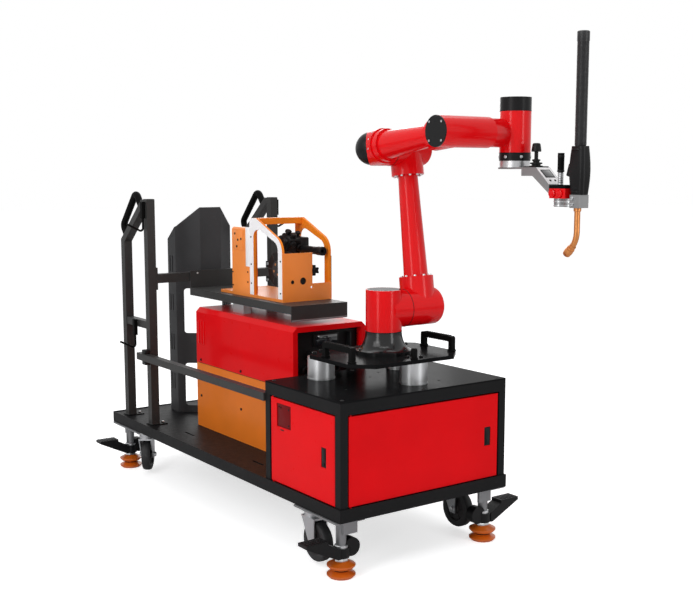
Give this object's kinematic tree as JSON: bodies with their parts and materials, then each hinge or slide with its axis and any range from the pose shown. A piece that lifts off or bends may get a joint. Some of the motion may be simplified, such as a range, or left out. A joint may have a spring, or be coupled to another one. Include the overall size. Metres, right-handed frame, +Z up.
{
  "type": "mobile welding robot arm",
  "caption": "Six-axis welding robot arm on a wheeled station with control cabinet, power source, wire feeder, gas cylinder bracket and push handles.",
  "frame": {"origin": "on the floor, below the middle of the whole station at rest", "axes": "+Z up, +X from the push handles towards the cabinet's front door, +Y to the far side"},
  "size_m": [1.968, 0.832, 1.5668],
  "materials": {
    "black_coat": "satin",
    "black_gloss": "gloss",
    "dark_sheet": "satin",
    "red_coat": "gloss",
    "orange_coat": "satin",
    "arch_coat": "satin",
    "black_plastic": "satin",
    "silver_metal": "satin",
    "copper_metal": "satin",
    "grey_cast": "satin",
    "orange_rubber": "satin",
    "galvanised": "satin",
    "black_rubber": "matte"
  },
  "bodies": {
    "cart": {"deck_tray": "black_coat", "cabinet_frame": "black_coat", "cabinet_top": "black_gloss", "cabinet_back_panel": "red_coat", "cabinet_side_panel": "red_coat", "power_source_base": "orange_coat", "power_source_cover": "red_coat", "power_source_face": "black_coat", "tray_spacers": "silver_metal", "feeder_tray": "black_coat", "cross_rail": "black_coat", "side_rails": "black_coat", "push_frame_left": "black_coat", "push_frame_right": "black_coat", "push_grips": "black_plastic", "cable_hooks": "black_plastic", "cylinder_bracket": "dark_sheet", "feeder_frame": "arch_coat", "feeder_base": "orange_coat", "feeder_box": "orange_coat", "wire_drive": "black_plastic", "standoffs": "silver_metal", "base_plate": "black_coat", "plate_handles": "black_plastic", "arm_foot": "black_coat", "caster_mounts": "grey_cast", "levelling_pads": "orange_rubber", "caster_pedals": "black_plastic"},
    "side_door_leaf": {"side_door": "red_coat"},
    "front_door_leaf": {"front_door": "red_coat"},
    "spool": {"wire_spool": "black_plastic"},
    "turret": {"shoulder_column": "red_coat", "column_cap": "black_plastic"},
    "upper_arm_body": {"upper_arm": "red_coat"},
    "elbow": {"elbow_housing": "red_coat", "elbow_cap": "black_plastic"},
    "forearm_body": {"forearm": "red_coat", "wrist_disc": "black_plastic"},
    "wrist": {"wrist_column": "red_coat", "wrist_caps": "black_plastic"},
    "tool": {"tool_flange": "silver_metal", "tool_bracket": "silver_metal", "joystick": "black_plastic", "clamp_lever": "black_plastic", "quick_clamp": "red_coat", "torch_block": "silver_metal", "torch_handle": "black_plastic", "torch_tube": "black_plastic", "torch_neck": "copper_metal"},
    "fork_front_left": {"caster_fork_front_left": "galvanised"},
    "wheel_front_left": {"caster_wheel_front_left": "black_rubber"},
    "fork_front_right": {"caster_fork_front_right": "galvanised"},
    "wheel_front_right": {"caster_wheel_front_right": "black_rubber"},
    "fork_rear_left": {"caster_fork_rear_left": "galvanised"},
    "wheel_rear_left": {"caster_wheel_rear_left": "black_rubber"},
    "fork_rear_right": {"caster_fork_rear_right": "galvanised"},
    "wheel_rear_right": {"caster_wheel_rear_right": "black_rubber"}
  },
  "joints": [
    {"name": "base_turn", "type": "hinge", "parent": "cart", "child": "turret", "pos_m": [0.39249, 0, 0.6884], "axis": [0, 0, 1], "range_deg": [-150, 130]},
    {"name": "shoulder_swing", "type": "hinge", "parent": "turret", "child": "upper_arm_body", "pos_m": [0.39249, 0.073, 0.7554], "axis": [0, 1, 0], "range_deg": [-35, 75]},
    {"name": "elbow_swing", "type": "hinge", "parent": "upper_arm_body", "child": "elbow", "pos_m": [0.32221, 0.073, 1.25549], "axis": [0, -1, 0], "range_deg": [-40, 120]},
    {"name": "forearm_roll", "type": "hinge", "parent": "elbow", "child": "forearm_body", "pos_m": [0.32221, 0.005, 1.25549], "axis": [0.9942, 0, 0.108], "range_deg": [-170, 170]},
    {"name": "wrist_swing", "type": "hinge", "parent": "forearm_body", "child": "wrist", "pos_m": [0.69701, 0.143, 1.2962], "axis": [0, 1, 0], "range_deg": [-110, 110]},
    {"name": "tool_turn", "type": "hinge", "parent": "wrist", "child": "tool", "pos_m": [0.69701, 0.257, 1.2148], "axis": [0, 0, 1], "range_deg": [-45, 180]},
    {"name": "side_door_swing", "type": "hinge", "parent": "cart", "child": "side_door_leaf", "pos_m": [0.24099, -0.315, 0.224], "axis": [0, 0, -1], "range_deg": [0, 105]},
    {"name": "front_door_swing", "type": "hinge", "parent": "cart", "child": "front_door_leaf", "pos_m": [0.60599, -0.281, 0.224], "axis": [0, 0, -1], "range_deg": [0, 105]},
    {"name": "spool_spin", "type": "hinge", "parent": "cart", "child": "spool", "pos_m": [-0.14404, -0.035, 0.845], "axis": [0, 1, 0], "continuous": true},
    {"name": "swivel_front_left", "type": "hinge", "parent": "cart", "child": "fork_front_left", "pos_m": [0.40699, -0.28, 0.176], "axis": [0, 0, 1], "continuous": true},
    {"name": "roll_front_left", "type": "hinge", "parent": "fork_front_left", "child": "wheel_front_left", "pos_m": [0.43699, -0.28, 0.0745], "axis": [0, 1, 0], "continuous": true},
    {"name": "swivel_front_right", "type": "hinge", "parent": "cart", "child": "fork_front_right", "pos_m": [0.40699, 0.28, 0.176], "axis": [0, 0, 1], "continuous": true},
    {"name": "roll_front_right", "type": "hinge", "parent": "fork_front_right", "child": "wheel_front_right", "pos_m": [0.43699, 0.28, 0.0745], "axis": [0, 1, 0], "continuous": true},
    {"name": "swivel_rear_left", "type": "hinge", "parent": "cart", "child": "fork_rear_left", "pos_m": [-0.77501, -0.28, 0.176], "axis": [0, 0, 1], "continuous": true},
    {"name": "roll_rear_left", "type": "hinge", "parent": "fork_rear_left", "child": "wheel_rear_left", "pos_m": [-0.79928, -0.26237, 0.0745], "axis": [0.5878, 0.809, 0], "continuous": true},
    {"name": "swivel_rear_right", "type": "hinge", "parent": "cart", "child": "fork_rear_right", "pos_m": [-0.77501, 0.28, 0.176], "axis": [0, 0, 1], "continuous": true},
    {"name": "roll_rear_right", "type": "hinge", "parent": "fork_rear_right", "child": "wheel_rear_right", "pos_m": [-0.80501, 0.28, 0.0745], "axis": [0, 1, 0], "continuous": true}
  ]
}
